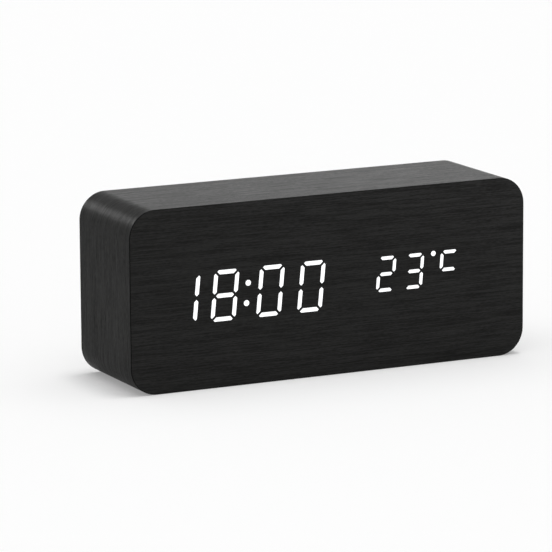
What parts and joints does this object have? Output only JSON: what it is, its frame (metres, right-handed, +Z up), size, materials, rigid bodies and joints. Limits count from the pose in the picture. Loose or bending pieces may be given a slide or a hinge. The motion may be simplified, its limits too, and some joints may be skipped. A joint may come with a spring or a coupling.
{
  "type": "digital alarm clock",
  "caption": "Digital alarm clock: a film-wrapped wooden block with bright seven-segment figures, a moulded back with buttons, a USB socket and a hinged battery door.",
  "frame": {"origin": "middle of the block's underside, on the surface it stands on", "axes": "+X to the viewer's right along the block, +Y from the face to the back, +Z up"},
  "size_m": [0.15, 0.042, 0.063],
  "materials": {
    "core_board": "raw fibreboard",
    "grain_film": "black film with fine embossed wood grain",
    "lit_diffuser": "milky, lit from behind",
    "mask": "matt black sheet",
    "reflector": "white moulding",
    "circuit_board": "green solder mask",
    "screw_steel": "zinc plated",
    "chip_body": "moulded epoxy",
    "tinned_metal": "tinned",
    "capacitor_sleeve": "shrink sleeve",
    "socket_plastic": "cream moulding",
    "back_plastic": "fine spark texture",
    "switch_body": "satin",
    "plunger": "satin",
    "button_rubber": "matt",
    "holder_plastic": "satin",
    "coin_steel": "brushed",
    "ribbon_sheath": "grey flat cable",
    "battery_can": "printed sleeve with no words",
    "contact_metal": "nickel plated",
    "red_sheath": "satin",
    "black_sheath": "satin"
  },
  "bodies": {
    "clock_body": {"cabinet_core": "core_board", "wrap_film": "grain_film", "front_film": "grain_film", "back_film": "grain_film", "segment_diffuser": "lit_diffuser", "light_mask": "mask", "segment_reflector": "reflector", "display_board": "circuit_board", "display_screw_1": "screw_steel", "display_screw_2": "screw_steel", "display_screw_3": "screw_steel", "display_screw_4": "screw_steel", "clock_chip": "chip_body", "led_driver_chip": "chip_body", "crystal_can": "tinned_metal", "filter_capacitor": "capacitor_sleeve", "ribbon_socket_display": "socket_plastic", "back_panel": "back_plastic", "panel_screw_1": "screw_steel", "panel_screw_2": "screw_steel", "panel_screw_3": "screw_steel", "panel_screw_4": "screw_steel", "button_board": "circuit_board", "board_screw_1": "screw_steel", "board_screw_2": "screw_steel", "set_switch": "switch_body", "up_switch": "switch_body", "down_switch": "switch_body", "usb_socket": "tinned_metal", "buzzer": "switch_body", "microphone": "tinned_metal", "thermistor": "capacitor_sleeve", "coin_cell_holder": "holder_plastic", "coin_cell": "coin_steel", "ribbon_socket_buttons": "socket_plastic", "ribbon_cable": "ribbon_sheath", "battery_1": "battery_can", "battery_2": "battery_can", "battery_3": "battery_can", "contact_negative": "contact_metal", "contact_left": "contact_metal", "contact_right": "contact_metal", "contact_positive": "contact_metal", "spring_1": "contact_metal", "spring_2": "contact_metal", "spring_3": "contact_metal", "lead_plug": "socket_plastic", "battery_lead_red": "red_sheath", "battery_lead_black": "black_sheath"},
    "set_key": {"set_button": "button_rubber", "set_plunger": "plunger"},
    "up_key": {"up_button": "button_rubber", "up_plunger": "plunger"},
    "down_key": {"down_button": "button_rubber", "down_plunger": "plunger"},
    "door": {"battery_door": "back_plastic"}
  },
  "joints": [
    {"name": "set_press", "type": "slide", "parent": "clock_body", "child": "set_key", "axis": [0, -1, 0], "range_m": [0, 0.0004], "stiffness_N_per_m": 400, "springref_m": -0.003},
    {"name": "up_press", "type": "slide", "parent": "clock_body", "child": "up_key", "axis": [0, -1, 0], "range_m": [0, 0.0004], "stiffness_N_per_m": 400, "springref_m": -0.003},
    {"name": "down_press", "type": "slide", "parent": "clock_body", "child": "down_key", "axis": [0, -1, 0], "range_m": [0, 0.0004], "stiffness_N_per_m": 400, "springref_m": -0.003},
    {"name": "door_swing", "type": "hinge", "parent": "clock_body", "child": "door", "pos_m": [0.0079, 0.02, 0.0315], "axis": [0, 0, 1], "range_deg": [0, 75]}
  ]
}
